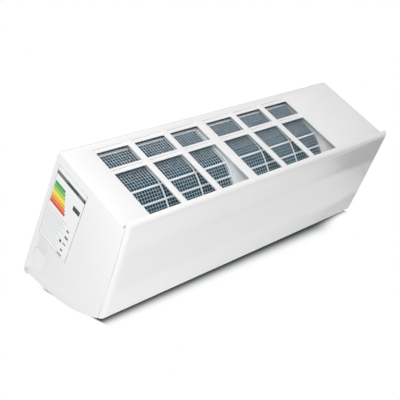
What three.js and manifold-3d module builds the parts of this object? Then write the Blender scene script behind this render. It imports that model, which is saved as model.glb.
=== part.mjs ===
// Indoor unit of a mini split air conditioner, as it hangs on a wall. Millimetres.
// +X runs to the right as seen from the room, +Y points into the wall and +Z up.
// Side views are drawn as [depth, height] pairs: depth is measured from the wall towards the
// room, and height from the lowest edge of the casing. The finished unit is then lowered so
// that the origin lies at the middle of the wall plate's back.
import * as THREE from 'three';
import { mergeVertices } from 'three/addons/utils/BufferGeometryUtils.js';
import Module from 'manifold-3d';

// Overall sizes
const bodyWidth = 690;
const bodyHeight = 290;
const footDepth = 205;
const footHeight = 96;
const panelLean = 17;
const panelBow = 1.8;
const lipRise = 8;
const lipOverhang = 11;
const trayDepth = 9;
const cornerRadius = 12;
const topEdgeRadius = 4;

// Walls and clearances
const shell = 2.5;
const panelWall = 2.3;
const seat = 0.3;
const seam = 0.8;

// Inlet grille in the top of the casing
const grilleMargin = 54.8;
const endBayWidth = 153.6;
const barWidth = 12.8;
const centreBarWidth = 20.6;
const columnsPerSide = 3;
const cellLedge = 7.1;
const ledgeDrop = 1.6;
const backRowStart = 18.4;
const backRowEnd = 65.3;
const frontRowStart = 69.7;

// Fan and its scroll; the fan fills the room between the pipe channel and the drain pan
const fanBackGap = 9.5;
const fanFrontGap = 5;
const fanHeight = 112;
const bladeCount = 22;
const bladeLength = 10.5;
const bladeThickness = 1.4;
const discThickness = 3;
const axleRadius = 4;
const bearingRadius = 12.7;

// Coil, and the drain pan under its front
const panWidth = 43.5;
const panSetback = 14.5;
const coilThickness = 25;
const coilDrop = 40;
const lowerCoilShare = 0.61;
const tubePitch = 21;
const tubeRadius = 3.5;
const bendMargin = 8;
const pipeFoot = { suction: 8, liquid: 19 };
const endPlateThickness = 1.5;
const endPlateRim = 2;

// Air filters
const filterDrop = 12;
const filterThickness = 1.6;
const filterRim = 5;
const filterRib = 3;
const netStrand = 1.2;
const filterRibShares = [0.167, 0.331, 0.425, 0.582, 0.745, 0.873];

// Louvre and vanes
const louvreThickness = 2.2;
const louvrePivotInset = 8;
const louvrePivotBack = 14;
const pinRadius = 3;
const vanesPerSide = 5;
const vaneEndGap = 18.3;
const vaneThickness = 1.6;
const vaneSetback = 39;
const vaneLever = 11;

// Motors, electrics and pipes
const motorRimDrop = 2;
const motorLength = 44;
const stepperRadius = 12;
const stepperLength = 18;
const boxWidth = 80;
const boxWall = 2;
const suctionRadius = 4.75;
const liquidRadius = 3.2;
const pipeDepth = 26;
const suctionHeight = 57;
const liquidHeight = 32;

// Energy label on the left end
const label = { width: 79.6, height: 159.2, setback: 11.2, drop: 18.6 };

// Wall plate
const plateWidth = 440;
const plateHeight = 170;
const plateThickness = 1.2;
const plateCentreHeight = 160;
const hookWidth = 30;

const wasm = await Module();
wasm.setup();

// A closed geometry as a solid that can be joined and cut.
function solid(geometry) {
  const bare = geometry.index ? geometry.toNonIndexed() : geometry;
  bare.deleteAttribute('normal');
  bare.deleteAttribute('uv');
  const merged = mergeVertices(bare, 1e-4);
  return new wasm.Manifold(new wasm.Mesh({
    numProp: 3,
    vertProperties: new Float32Array(merged.attributes.position.array),
    triVerts: new Uint32Array(merged.index.array),
  }));
}

// The solids joined into one.
function join(...solids) {
  return solids.reduce((whole, next) => whole.add(next));
}

// The first solid with the others cut out of it.
function cut(whole, ...tools) {
  return tools.reduce((rest, tool) => rest.subtract(tool), whole);
}

const basis = {
  side: new THREE.Matrix4().makeBasis(
    new THREE.Vector3(0, 1, 0), new THREE.Vector3(0, 0, 1), new THREE.Vector3(1, 0, 0)),
  front: new THREE.Matrix4().makeBasis(
    new THREE.Vector3(1, 0, 0), new THREE.Vector3(0, 0, 1), new THREE.Vector3(0, -1, 0)),
};

function outline(points, flip = 1) {
  return new THREE.Shape(points.map(([a, b]) => new THREE.Vector2(flip * a, b)));
}

// A side view of [depth, height] points, drawn out across the width.
function acrossWidth(points, x0, x1) {
  const geometry = new THREE.ExtrudeGeometry(outline(points, -1), { depth: x1 - x0, bevelEnabled: false });
  geometry.applyMatrix4(basis.side);
  return solid(geometry.translate(x0, 0, 0));
}

// A front view of [x, height] points, drawn out from one depth to another.
function fromFront(points, depth0, depth1) {
  const geometry = new THREE.ExtrudeGeometry(outline(points), { depth: depth1 - depth0, bevelEnabled: false });
  geometry.applyMatrix4(basis.front);
  return solid(geometry.translate(0, -depth0, 0));
}

function block(x0, x1, depth0, depth1, z0, z1) {
  const geometry = new THREE.BoxGeometry(x1 - x0, depth1 - depth0, z1 - z0);
  return solid(geometry.translate((x0 + x1) / 2, -(depth0 + depth1) / 2, (z0 + z1) / 2));
}

// Round bars along the width, the depth and the height.
function barAcross(radius, x0, x1, depth, z, sides = 24) {
  const geometry = new THREE.CylinderGeometry(radius, radius, x1 - x0, sides).rotateZ(Math.PI / 2);
  return solid(geometry.translate((x0 + x1) / 2, -depth, z));
}

function barDeep(radius, depth0, depth1, x, z, sides = 16) {
  const geometry = new THREE.CylinderGeometry(radius, radius, depth1 - depth0, sides);
  return solid(geometry.translate(x, -(depth0 + depth1) / 2, z));
}

function barUp(radius, z0, z1, x, depth, sides = 12) {
  const geometry = new THREE.CylinderGeometry(radius, radius, z1 - z0, sides).rotateX(Math.PI / 2);
  return solid(geometry.translate(x, -depth, (z0 + z1) / 2));
}

// A line moved sideways by a distance, with mitred corners; positive moves to its left.
function offsetLine(points, distance) {
  const normals = points.slice(1).map(([a, b], i) => {
    const [c, d] = points[i];
    const length = Math.hypot(a - c, b - d);
    return [-(b - d) / length, (a - c) / length];
  });
  return points.map(([a, b], i) => {
    const [p, q] = normals[Math.max(i - 1, 0)];
    const [r, s] = normals[Math.min(i, normals.length - 1)];
    const scale = distance / (1 + p * r + q * s);
    return [a + (p + r) * scale, b + (q + s) * scale];
  });
}

// The outline of an even wall along a line of points.
function wallAlong(points, thickness) {
  return [...points, ...offsetLine(points, thickness).reverse()];
}

// Points on an arc in any view; angles in degrees, turning from the first axis to the second.
function arc(centreA, centreB, radius, from, to, steps) {
  return Array.from({ length: steps + 1 }, (_, i) => {
    const angle = THREE.MathUtils.degToRad(from + ((to - from) * i) / steps);
    return [centreA + radius * Math.cos(angle), centreB + radius * Math.sin(angle)];
  });
}

// Corners of an upright polygon with its first corner on the first axis.
function polygon(centreA, centreB, radius, sides) {
  return arc(centreA, centreB, radius, 0, 360 - 360 / sides, sides - 1);
}

// A round bar that follows a path through [x, depth, height] corners, each rounded off.
function tubeThrough(corners, radius, bend, sides, steps) {
  const at = corners.map(([x, depth, z]) => new THREE.Vector3(x, -depth, z));
  const path = new THREE.CurvePath();
  let start = at[0];
  at.slice(1, -1).forEach((corner, i) => {
    const into = corner.clone().add(at[i].clone().sub(corner).setLength(bend));
    const out = corner.clone().add(at[i + 2].clone().sub(corner).setLength(bend));
    path.add(new THREE.LineCurve3(start, into));
    path.add(new THREE.QuadraticBezierCurve3(into, corner, out));
    start = out;
  });
  path.add(new THREE.LineCurve3(start, at[at.length - 1]));
  const section = outline(polygon(0, 0, radius, sides));
  return solid(new THREE.ExtrudeGeometry(section, { steps, extrudePath: path, bevelEnabled: false }));
}

// Lines that many pieces share
const right = bodyWidth / 2;
const left = -right;
const vanePivotDepth = footDepth - vaneSetback;
const channel = { top: 92, knee: 78, depth: 42 };
const pan = {
  depth0: footDepth - panSetback - panWidth, depth1: footDepth - panSetback,
  frontLip: footHeight + 20, rearLip: footHeight + 22,
};
const fanRadius = (pan.depth0 - fanFrontGap - fanBackGap - channel.depth - shell) / 2;
const fanDepth = pan.depth0 - fanFrontGap - fanRadius;
const motorRadius = fanRadius - motorRimDrop;
const faceTopHeight = bodyHeight + 1;

// Depth of the front panel's face at a height: it leans back and bows gently out.
function faceDepth(z) {
  const rise = (z - footHeight) / (faceTopHeight - footHeight);
  return footDepth - panelLean * rise + 4 * panelBow * rise * (1 - rise);
}

function casingFront(z) {
  return faceDepth(z) - trayDepth;
}

const underside = {
  rearHandle: [60, 12],
  frontHandle: [53.5, 52.4],
  start: [20, 8],
  end: [footDepth - 6.5, footHeight - 5.6],
};
const undersideCurve = new THREE.CubicBezierCurve(
  new THREE.Vector2(...underside.start),
  new THREE.Vector2(underside.start[0] + underside.rearHandle[0], underside.start[1] + underside.rearHandle[1]),
  new THREE.Vector2(underside.end[0] - underside.frontHandle[0], underside.end[1] - underside.frontHandle[1]),
  new THREE.Vector2(...underside.end));

// Where the underside curve reaches a depth, as its parameter.
function undersideAt(depth) {
  let low = 0;
  let high = 1;
  for (let i = 0; i < 40; i += 1) {
    const middle = (low + high) / 2;
    if (undersideCurve.getPoint(middle).x < depth) low = middle;
    else high = middle;
  }
  return low;
}

// Points along the underside between two depths.
function undersideLine(depth0, depth1, steps) {
  const t0 = undersideAt(depth0);
  const t1 = undersideAt(depth1);
  return Array.from({ length: steps + 1 }, (_, i) => {
    const point = undersideCurve.getPoint(t0 + ((t1 - t0) * i) / steps);
    return [point.x, point.y];
  });
}

function undersideHeight(depth) {
  return undersideCurve.getPoint(undersideAt(depth)).y;
}

// Grille columns, from left to right: they fill the casing up to the bay of the motor and electrics
const barsWidth = (2 * columnsPerSide - 2) * barWidth + centreBarWidth;
const cellWidth = (bodyWidth - grilleMargin - endBayWidth - barsWidth) / (2 * columnsPerSide);
const grilleLeft = left + grilleMargin;
const columns = Array.from({ length: 2 * columnsPerSide }, (_, i) => {
  const x = grilleLeft + i * (cellWidth + barWidth) + (i < columnsPerSide ? 0 : centreBarWidth - barWidth);
  return [x, x + cellWidth];
});
const grilleRight = columns[columns.length - 1][1];
const centreBar = (columns[columnsPerSide - 1][1] + columns[columnsPerSide][0]) / 2;

// The air duct between its two end walls
const ductLeft = grilleLeft - 8;
const ductRight = grilleRight + 7;
const duct = {
  lipDepth: footDepth - 71.1, outletStart: footDepth - 66, outletEnd: footDepth - 8.5, roof: footHeight - 1,
};
const ductCentre = (ductLeft + ductRight) / 2;

// Top edge of the casing and the panel's hinge line under its lip
const casingTopEnd = faceDepth(faceTopHeight) - lipOverhang - 2.5;
const ledgeHeight = bodyHeight - 7;
const hingeDepth = faceDepth(faceTopHeight) - 7.5;
const hingeHeight = bodyHeight + 1.5;
const earXs = [left + 35, centreBar, right - 35];
const ear = { radius: 3.6, hole: 2.1, pin: 1.8, width: 4, armWidth: 3 };

// The filters' path under the grille and down in front of the coil: each point is a share of
// the way forward from the rear row of cells, and of the way down to the opening's foot.
const accessFoot = footHeight + 24;
const filterLevel = bodyHeight - filterDrop;
const filterEnd = { depth: footDepth - 15.5, z: accessFoot + 4 };
const filterBend = [
  [0.329, 0.006], [0.45, 0.045], [0.562, 0.104], [0.699, 0.188], [0.827, 0.286],
  [0.924, 0.403], [0.972, 0.532], [0.988, 0.701], [1, 1],
].map(([forward, down]) => [
  backRowEnd + forward * (filterEnd.depth - backRowEnd), filterLevel - down * (filterLevel - filterEnd.z),
]);
const filterPath = [[backRowStart + 3.6, filterLevel], [backRowEnd, filterLevel], ...filterBend];

// Cuts a length into ribs and gaps: a rim at each end, a rib at each share of the length, and
// net strands that split every bay between them.
function ribStations(start, end, ribShares, gapsPerBay) {
  const ribs = ribShares.map((share) => start + share * (end - start));
  const edges = [start + filterRim, ...ribs.flatMap((rib) => [rib - filterRib / 2, rib + filterRib / 2]),
    end - filterRim];
  const stations = [start];
  for (let i = 0; i < edges.length; i += 2) {
    const gapLength = (edges[i + 1] - edges[i] - (gapsPerBay - 1) * netStrand) / gapsPerBay;
    for (let gap = 0; gap < gapsPerBay; gap += 1) {
      const at = edges[i] + gap * (gapLength + netStrand);
      stations.push(at, at + gapLength);
    }
  }
  stations.push(end);
  return stations;
}

// A point at a distance along a line of points.
function pointAlong(points, distance) {
  let rest = distance;
  for (let i = 1; i < points.length; i += 1) {
    const [[a, b], [c, d]] = [points[i - 1], points[i]];
    const length = Math.hypot(c - a, d - b);
    if (rest <= length || i === points.length - 1) {
      return [a + ((c - a) * rest) / length, b + ((d - b) * rest) / length];
    }
    rest -= length;
  }
  return points[0];
}

const filterLength = filterPath.slice(1).reduce(
  (sum, [a, b], i) => sum + Math.hypot(a - filterPath[i][0], b - filterPath[i][1]), 0);
const filterLine = ribStations(0, filterLength, filterRibShares, 2).map((s) => pointAlong(filterPath, s));

// Slabs of the coil: centre lines from the top end to the bottom end
const coilTop = bodyHeight - coilDrop;
const lowerCoilTop = duct.roof + lowerCoilShare * (coilTop - duct.roof);
const trayHeight = fanHeight + 30;
const trayEnd = fanDepth - fanRadius + 3;
const slabs = {
  rear: { from: [fanDepth - 10, coilTop], to: [trayEnd - 15, trayHeight + 23] },
  upper: { from: [fanDepth + 11, coilTop - 2], to: [pan.depth0 + 12, lowerCoilTop + 10] },
  lower: { from: [pan.depth0 + 21, lowerCoilTop + 3], to: [pan.depth0 + 23, duct.roof + 27] },
};
const coilLeft = ductLeft + 12;
const coilRight = ductRight - 18;

// A slab's outline in the side view, grown by a rim.
function slabOutline({ from, to }, rim = 0) {
  const length = Math.hypot(to[0] - from[0], to[1] - from[1]);
  const along = [(to[0] - from[0]) / length, (to[1] - from[1]) / length];
  const half = coilThickness / 2 + rim;
  const corner = ([a, b], end, side) => [
    a + along[0] * end * rim - along[1] * side * half,
    b + along[1] * end * rim + along[0] * side * half,
  ];
  return [corner(from, -1, 1), corner(from, -1, -1), corner(to, 1, -1), corner(to, 1, 1)];
}

// Heights spaced evenly between two limits, both included.
function heights(from, to, count) {
  return Array.from({ length: count }, (_, i) => from + ((to - from) * i) / (count - 1));
}

// Outer side view of the casing, from the foot of the back edge round to the top.
function casingOutline() {
  const frontHeights = heights(footHeight - 5.2, ledgeHeight, 6);
  return [
    [1, 12], [4, 2], [11, 0], ...undersideLine(underside.start[0], casingFront(footHeight) - 1, 12),
    ...frontHeights.map((z) => [casingFront(z), z]),
    [casingTopEnd, ledgeHeight], [casingTopEnd, bodyHeight],
    ...arc(9, bodyHeight - 8, 8, 90, 180, 4),
  ];
}

// The space inside the casing's walls, open to the back and to the rear of the underside.
function casingCavity() {
  const front = heights(ledgeHeight - shell, footHeight + 2, 6).map((z) => [casingFront(z) - shell, z]);
  const floor = offsetLine(undersideLine(duct.lipDepth + 0.6, casingFront(footHeight) - 5, 8), shell);
  return [
    [-5, -5], [-5, bodyHeight - shell], [casingTopEnd - shell, bodyHeight - shell],
    [casingTopEnd - shell, ledgeHeight - shell], ...front, ...floor.reverse(),
    [duct.lipDepth + 0.6, undersideHeight(duct.lipDepth + 0.6)], [duct.lipDepth + 0.6, -5],
  ];
}

function grilleCuts() {
  const frontRowEnd = casingTopEnd - shell;
  const rows = [[backRowStart, backRowEnd], [frontRowStart, frontRowEnd]];
  return columns.flatMap(([x0, x1]) => rows.flatMap(([d0, d1]) => [
    block(x0, x1, d0, d1, bodyHeight - ledgeDrop, bodyHeight + 1),
    block(x0, x1, d0 + cellLedge, d1, bodyHeight - shell - 1, bodyHeight + 1),
  ]));
}

// Webs between the filters: each reaches from the casing's skin to the filters' rails.
const railThickness = 1.5;
const railDrop = filterThickness + seat;
const webs = [
  { x0: ductLeft - 3, x1: ductLeft, rail0: ductLeft - 3, rail1: ductLeft + 7 },
  { x0: centreBar - 1.5, x1: centreBar + 1.5, rail0: centreBar - 9, rail1: centreBar + 9 },
  { x0: ductRight + 7, x1: ductRight + 10, rail0: ductRight + 1, rail1: ductRight + 10 },
];

function filterWeb({ x0, x1, rail0, rail1 }) {
  const railLine = offsetLine(filterLine, -railDrop);
  const skin = [
    [filterPath[0][0], bodyHeight - 1], [casingTopEnd - 1, bodyHeight - 1], [casingTopEnd - 1, ledgeHeight - 1],
    ...heights(ledgeHeight - 1, accessFoot, 3).map((z) => [casingFront(z) - 1, z]),
  ];
  const webFoot = offsetLine(filterLine, -railDrop - railThickness / 2);
  const web = acrossWidth([...skin, ...webFoot.reverse()], x0, x1);
  return web.add(acrossWidth(wallAlong(railLine, -railThickness), rail0, rail1));
}

const knockout = { depth0: 14, depth1: 48, z0: 32, z1: 78, radius: 6 };

function knockoutOutline(inset) {
  const { depth0, depth1, z0, z1, radius } = knockout;
  const corners = [[depth1, z0, -90], [depth1, z1, 0], [depth0, z1, 90], [depth0, z0, 180]];
  return corners.flatMap(([depth, z, angle]) => arc(
    depth + (depth === depth0 ? radius : -radius), z + (z === z0 ? radius : -radius),
    radius - inset, angle, angle + 90, 3));
}

const display = { x0: right - 119, x1: right - 15, z0: 124, z1: 152, gap: 3.9, thickness: 10 };
const lens = { x0: display.x0 + 14, x1: display.x0 + 36, z0: 131, z1: 145 };
const button = { x: display.x1 - 12, z: 138, radius: 3, flange: 5, proud: 0.5 };
const screwXs = [ductLeft + 48, ductCentre, ductRight - 48];
const screw = { z: 108, head: 4, headHeight: 2.2, shank: 1.5, hole: 1.9, length: 6.8 };

function hingeEar(x) {
  const stem = [
    [hingeDepth, hingeHeight], [hingeDepth - 3, hingeHeight], [hingeDepth - 4.5, ledgeHeight - 1],
    [hingeDepth - 1, ledgeHeight - 1],
  ];
  const x0 = x - ear.width / 2;
  const body = barAcross(ear.radius, x0, x0 + ear.width, hingeDepth, hingeHeight, 16)
    .add(acrossWidth(stem, x0, x0 + ear.width));
  return cut(body, barAcross(ear.hole, x0 - 1, x0 + ear.width + 1, hingeDepth, hingeHeight, 12));
}

function frontCasing() {
  const roundTop = fromFront([
    [left, -5], [right, -5], ...arc(right - topEdgeRadius, bodyHeight - topEdgeRadius, topEdgeRadius, 0, 90, 3),
    ...arc(left + topEdgeRadius, bodyHeight - topEdgeRadius, topEdgeRadius, 90, 180, 3),
  ], -5, footDepth + 5);
  const body = acrossWidth(casingOutline(), left, right).intersect(roundTop)
    .subtract(acrossWidth(casingCavity(), left + shell, right - shell));
  const outlet = undersideLine(duct.lipDepth - 8, duct.outletEnd, 10);
  const wallDepth = casingFront(display.z0);
  const cuts = [
    ...grilleCuts(),
    acrossWidth(wallAlong(offsetLine(outlet, -4), 12), ductLeft, ductRight),
    block(ductLeft, ductRight + 7, footDepth - 75, footDepth, accessFoot, ledgeHeight - 4),
    acrossWidth(knockoutOutline(0), left - 1, left + shell + 1),
    acrossWidth(knockoutOutline(0), right - shell - 1, right + 1),
    block(lens.x0, lens.x1, wallDepth - 9, wallDepth + 5, lens.z0, lens.z1),
    barDeep(button.radius + 0.4, wallDepth - 9, wallDepth + 5, button.x, button.z, 12),
    ...screwXs.map((x) => barDeep(screw.hole, wallDepth - 9, wallDepth + 9, x, screw.z, 10)),
  ];
  return join(cut(body, ...cuts), ...webs.map(filterWeb), ...earXs.map(hingeEar));
}

// Solid with the front panel's outer shape, moved in by an inset on every side but the back.
function panelForm(inset, backDepth) {
  const faceHeights = heights(faceTopHeight - 2, footHeight + 2, 7);
  const lipTop = bodyHeight + lipRise;
  const middleHeight = (footHeight + bodyHeight) / 2;
  const roll = lipTop - faceTopHeight + 0.4;
  const rollDepth = faceDepth(faceTopHeight) - roll;
  const lipEnd = faceDepth(faceTopHeight) - lipOverhang;
  const line = [
    [lipEnd, lipTop - 0.5], [lipEnd + 1.5, lipTop], ...arc(rollDepth, lipTop - roll, roll, 85, 8, 5),
    ...faceHeights.map((z) => [faceDepth(z), z]),
    [footDepth - 0.8, footHeight - 1.6], [casingFront(footHeight) + 1.4, footHeight - 6.4],
  ];
  const inner = inset > 0 ? offsetLine(line, -inset) : line;
  const back = backDepth === undefined
    ? [[casingFront(footHeight - 5) + seam, footHeight - 5], [casingFront(middleHeight) + seam, middleHeight],
      [casingFront(ledgeHeight) + seam, ledgeHeight + seam], [lipEnd, lipTop - panelWall]]
    : [[backDepth, footHeight - 12], [backDepth, lipTop - inset]];
  const body = acrossWidth([...inner, ...back], left + inset, right - inset);
  const radius = cornerRadius - inset;
  const front = footDepth + panelBow * 1.2 - inset;
  const plan = [
    [left + inset, footDepth - 65], [right - inset, footDepth - 65],
    ...arc(right - inset - radius, front - radius, radius, 0, 90, 4),
    ...arc(left + inset + radius, front - radius, radius, 90, 180, 4),
  ];
  const lean = panelLean / (faceTopHeight - footHeight);
  const outlineUp = plan.map(([x, depth]) => [x, -depth]);
  const upright = new THREE.ExtrudeGeometry(outline(outlineUp), { depth: bodyHeight, bevelEnabled: false });
  upright.translate(0, 0, footHeight - 36);
  upright.applyMatrix4(new THREE.Matrix4().set(
    1, 0, 0, 0,
    0, 1, lean, -lean * footHeight,
    0, 0, 1, 0,
    0, 0, 0, 1));
  return body.intersect(solid(upright));
}

// An arm inside the panel that carries a hinge pin into the ear beside it.
function hingeArm(x) {
  const armStart = x + ear.width / 2 + 0.4;
  const reach = faceDepth(faceTopHeight) - 1;
  const arm = acrossWidth([
    [hingeDepth, hingeHeight + 3], [reach, hingeHeight + 2],
    [reach + 1, hingeHeight - 5], [hingeDepth, hingeHeight - 3],
  ], armStart, armStart + ear.armWidth);
  return join(arm,
    barAcross(3.2, armStart, armStart + ear.armWidth, hingeDepth, hingeHeight, 16),
    barAcross(ear.pin, x - ear.width / 2, armStart + 1, hingeDepth, hingeHeight, 12));
}

function frontPanel() {
  const tray = panelForm(0).subtract(panelForm(panelWall, footDepth - 85));
  const stops = [-1, 1].map((side) => {
    const z = accessFoot - 10;
    const x = side * (right - 110);
    return block(x - 6, x + 6, casingFront(z) + seat + 0.4, faceDepth(z) - 1, z - 4, z + 4);
  });
  return join(tray, ...earXs.map(hingeArm), ...stops);
}

// The scroll: inner line from the rear tray's lip round the fan to the outlet.
const scrollLine = [
  [trayEnd + 2, trayHeight + 6],
  ...[150, 165, 180, 195, 210, 225, 240, 255, 270].map((angle) => {
    const reach = fanRadius + 4 + (angle - 150) / 15;
    return arc(fanDepth, fanHeight, reach, angle, angle, 1)[0];
  }),
  offsetLine(undersideLine(channel.depth, duct.lipDepth, 8), shell)[8],
];
const louvrePivot = (() => {
  const foot = undersideCurve.getPoint(undersideAt(duct.outletStart));
  const tip = undersideCurve.getPoint(undersideAt(duct.outletEnd));
  const along = tip.clone().sub(foot).normalize();
  return [
    foot.x + along.x * louvrePivotBack - along.y * louvrePivotInset,
    foot.y + along.y * louvrePivotBack + along.x * louvrePivotInset,
  ];
})();
const backWall = 10;
const fanLeft = ductLeft + 10;
const fanRight = ductRight - 9;
const motorLeft = ductRight + shell + 5;
const ribTop = fanHeight - 22;
const box = {
  x0: right - 7 - boxWidth, x1: right - 7, depth0: channel.depth + 4, depth1: footDepth - 55,
  z0: 60, z1: bodyHeight - 65,
};

// The duct's end wall: a plate with holes for the fan's axle and the louvre's pin.
function ductEnd(x0, axleHole) {
  const foot = offsetLine(undersideLine(duct.lipDepth + 2.2, duct.outletEnd - 8, 8), shell + seat);
  const plate = acrossWidth([
    ...offsetLine(scrollLine, -shell / 2).slice(0, -1), ...scrollLine.slice(-1), ...foot,
    [duct.outletEnd - 8.5, duct.roof - seat],
    [pan.depth0 - seat, duct.roof - seat], [pan.depth0 - seat, pan.rearLip + 1],
    [pan.depth0 - 7, trayHeight + 8],
    [fanDepth + 12, trayHeight + 12], [fanDepth - 32, trayHeight + 12],
  ], x0, x0 + shell);
  return cut(plate,
    barAcross(axleHole, x0 - 1, x0 + shell + 1, fanDepth, fanHeight, 24),
    barAcross(pinRadius + seat, x0 - 1, x0 + shell + 1, louvrePivot[0], louvrePivot[1], 12));
}

// An upright rib under the motor or the electrical box, standing on the underside.
function floorRib(x0, depth0, depth1, top) {
  const foot = offsetLine(undersideLine(depth0, depth1, 4), 1);
  return acrossWidth([...foot, [depth1, top], [depth0, top]], x0, x0 + 3);
}

// Rests for the coil's end plates, on the rear tray.
function trayRest(x0) {
  const corners = slabOutline(slabs.rear, endPlateRim + seat);
  const [low, high] = [corners[2], corners[3]].sort((a, b) => a[0] - b[0]);
  return acrossWidth([
    [low[0] + 2, trayHeight - 1], [high[0] - 1, trayHeight - 1],
    [high[0] - 1, high[1] - 0.1], [low[0] + 2, low[1] - 1.5],
  ], x0 - 2, x0 + 4);
}

function rearChassis() {
  const x0 = left + shell + 1;
  const x1 = right - shell - 1;
  const back = wallAlong([
    [backWall, bodyHeight - shell - seat], [backWall, channel.top], [channel.depth, channel.knee],
    [channel.depth, undersideHeight(channel.depth)],
  ], shell);
  const skin = wallAlong(undersideLine(channel.depth, duct.lipDepth, 8), shell);
  const flange = [
    [2, bodyHeight - shell - seat], [backWall + 1, bodyHeight - shell - seat],
    [backWall + 1, bodyHeight - 2 * shell - seat], [2, bodyHeight - 2 * shell - seat],
  ];
  const sides = [x0, x1 - shell].map((x) => block(
    x, x + shell, 2, backWall + 1, channel.top + 4, bodyHeight - 4));
  const scroll = acrossWidth(wallAlong(scrollLine, -shell), ductLeft - shell, ductRight + shell);
  const tray = block(
    ductLeft - shell, ductRight + shell, backWall + 1, trayEnd, trayHeight - shell, trayHeight);
  const motorRibs = [motorLeft + 4, motorLeft + motorLength - 9].map((x) => cut(
    floorRib(x, fanDepth - motorRadius + 4, fanDepth + motorRadius - 12, ribTop),
    barAcross(motorRadius + seat, x - 1, x + 4, fanDepth, fanHeight, 32)));
  const boxRibs = [box.x0 + 8, box.x1 - 11].map((x) => floorRib(
    x, box.depth0 + 16, box.depth1 - 28, box.z0 - seat));
  const body = join(
    acrossWidth(back, x0, x1), acrossWidth(skin, x0, x1), acrossWidth(flange, x0, x1), ...sides, scroll, tray,
    ductEnd(ductLeft - shell, bearingRadius + seat), ductEnd(ductRight, 9),
    ...motorRibs, ...boxRibs, trayRest(coilLeft - endPlateThickness), trayRest(coilRight));
  const slots = hookXs.map((x) => block(
    x - hookWidth / 2 - 1, x + hookWidth / 2 + 1, backWall - 1, backWall + shell + 1,
    hook.top - 16, hook.top + seat));
  const pipeWay = block(
    ductRight + shell + 1, ductRight + 27, backWall - 2, channel.depth + 6, channel.knee - 6, channel.top + 6);
  return cut(body, ...slots, pipeWay);
}

const hook = { top: plateCentreHeight + 68, rise: 9, reach: backWall + shell + 2.2 };
const hookXs = [-150, 150];

function wallPlate() {
  const half = plateHeight / 2;
  const sheet = fromFront([
    [-plateWidth / 2, plateCentreHeight - half], [plateWidth / 2, plateCentreHeight - half],
    [plateWidth / 2, plateCentreHeight + half], [-plateWidth / 2, plateCentreHeight + half],
  ], 0, plateThickness);
  const hooks = hookXs.map((x) => acrossWidth([
    [plateThickness - 0.5, hook.top - 1.6], [hook.reach, hook.top - 1.6], [hook.reach, hook.top + hook.rise],
    [hook.reach - 1.6, hook.top + hook.rise], [hook.reach - 1.6, hook.top], [plateThickness - 0.5, hook.top],
  ], x - hookWidth / 2, x + hookWidth / 2));
  const foot = block(
    -plateWidth / 2, plateWidth / 2, plateThickness - 0.5, backWall - seat,
    plateCentreHeight - half, plateCentreHeight - half + plateThickness);
  const holes = [-190, -75, 75, 190].flatMap((x) => [-58, 40].map((z) => barDeep(
    3, -1, plateThickness + 1, x, plateCentreHeight + z, 8)));
  return cut(join(sheet, foot, ...hooks), ...holes);
}

function drainPan() {
  const x0 = ductLeft - 12;
  const x1 = ductRight + 16;
  const { depth0, depth1, frontLip, rearLip } = pan;
  const tray = acrossWidth([
    [depth0, duct.roof], [depth1, duct.roof], [depth1, frontLip], [depth0, rearLip],
  ], x0, x1).subtract(block(
    x0 + shell, x1 - shell, depth0 + shell, depth1 - shell, duct.roof + shell, rearLip + 5));
  const rests = [coilLeft - endPlateThickness - 2, coilRight - 2].map((x) => block(
    x, x + 5.5, depth0 + 13, depth1 - 10.5, duct.roof + 1, slabs.lower.to[1] - endPlateRim - 2 * seat));
  const pivotHoles = vaneXs.map((x) => barUp(2.3, duct.roof - 1, duct.roof + 1.5, x, vanePivotDepth, 8));
  const outlets = [
    barAcross(6.5, x1 - shell - 1, x1 + 1, spigot.depth, spigot.z, 16),
    barAcross(6.5, x0 - 1, x0 + shell + 1, spigot.depth, spigot.z, 16),
  ];
  const bosses = screwXs.map((x) => barDeep(
    4, depth1 - 1, casingFront(screw.z) - shell - seat - 0.3, x, screw.z, 12));
  const screwHoles = screwXs.map((x) => barDeep(screw.hole, depth1 - 10, depth1 + 9, x, screw.z, 10));
  return cut(join(tray, ...rests, ...bosses), ...pivotHoles, ...outlets, ...screwHoles);
}

const spigot = { depth: pan.depth0 + 23, z: duct.roof + 10, bore: 4.5, neck: 6.2, outer: 8, length: 20 };

// A turned piece: [distance along the width, radius] points, closed on itself or on the axis.
function turned(points, x, depth, z, sides) {
  const profile = points.map(([along, radius]) => new THREE.Vector2(radius, along));
  const geometry = new THREE.LatheGeometry(profile, sides).rotateZ(-Math.PI / 2);
  return solid(geometry.translate(x, -depth, z));
}

// The hose stub on the pan's right end.
function drainSpigot() {
  const x = ductRight + 16;
  const { bore, neck, outer, length } = spigot;
  return turned([
    [-shell, bore], [-shell, neck], [seat, neck], [seat, outer],
    [length, neck + 0.8], [length, bore], [-shell, bore],
  ], x, spigot.depth, spigot.z, 16);
}

// The stopper in the unused drain outlet.
function drainPlug() {
  const x = ductLeft - 12;
  return turned([[-4, 0], [-4, 8], [-seat, 9], [-seat, 6.2], [shell, 6.2], [shell, 0]], x,
    spigot.depth, spigot.z, 16);
}

function coilSlab(slab) {
  return acrossWidth(slabOutline(slab), coilLeft, coilRight);
}

class HalfTurn extends THREE.Curve {
  constructor(from, to, outward) {
    super();
    this.middle = from.clone().add(to).multiplyScalar(0.5);
    this.arm = from.clone().sub(this.middle);
    this.outward = outward.clone().multiplyScalar(this.arm.length());
  }

  getPoint(t) {
    const angle = Math.PI * t;
    return this.middle.clone()
      .addScaledVector(this.arm, Math.cos(angle))
      .addScaledVector(this.outward, Math.sin(angle));
  }
}

// A point on a slab's centre line, at a distance from its lower end.
function slabPoint({ from, to }, distance) {
  const share = distance / Math.hypot(from[0] - to[0], from[1] - to[1]);
  return [to[0] + (from[0] - to[0]) * share, to[1] + (from[1] - to[1]) * share];
}

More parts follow.
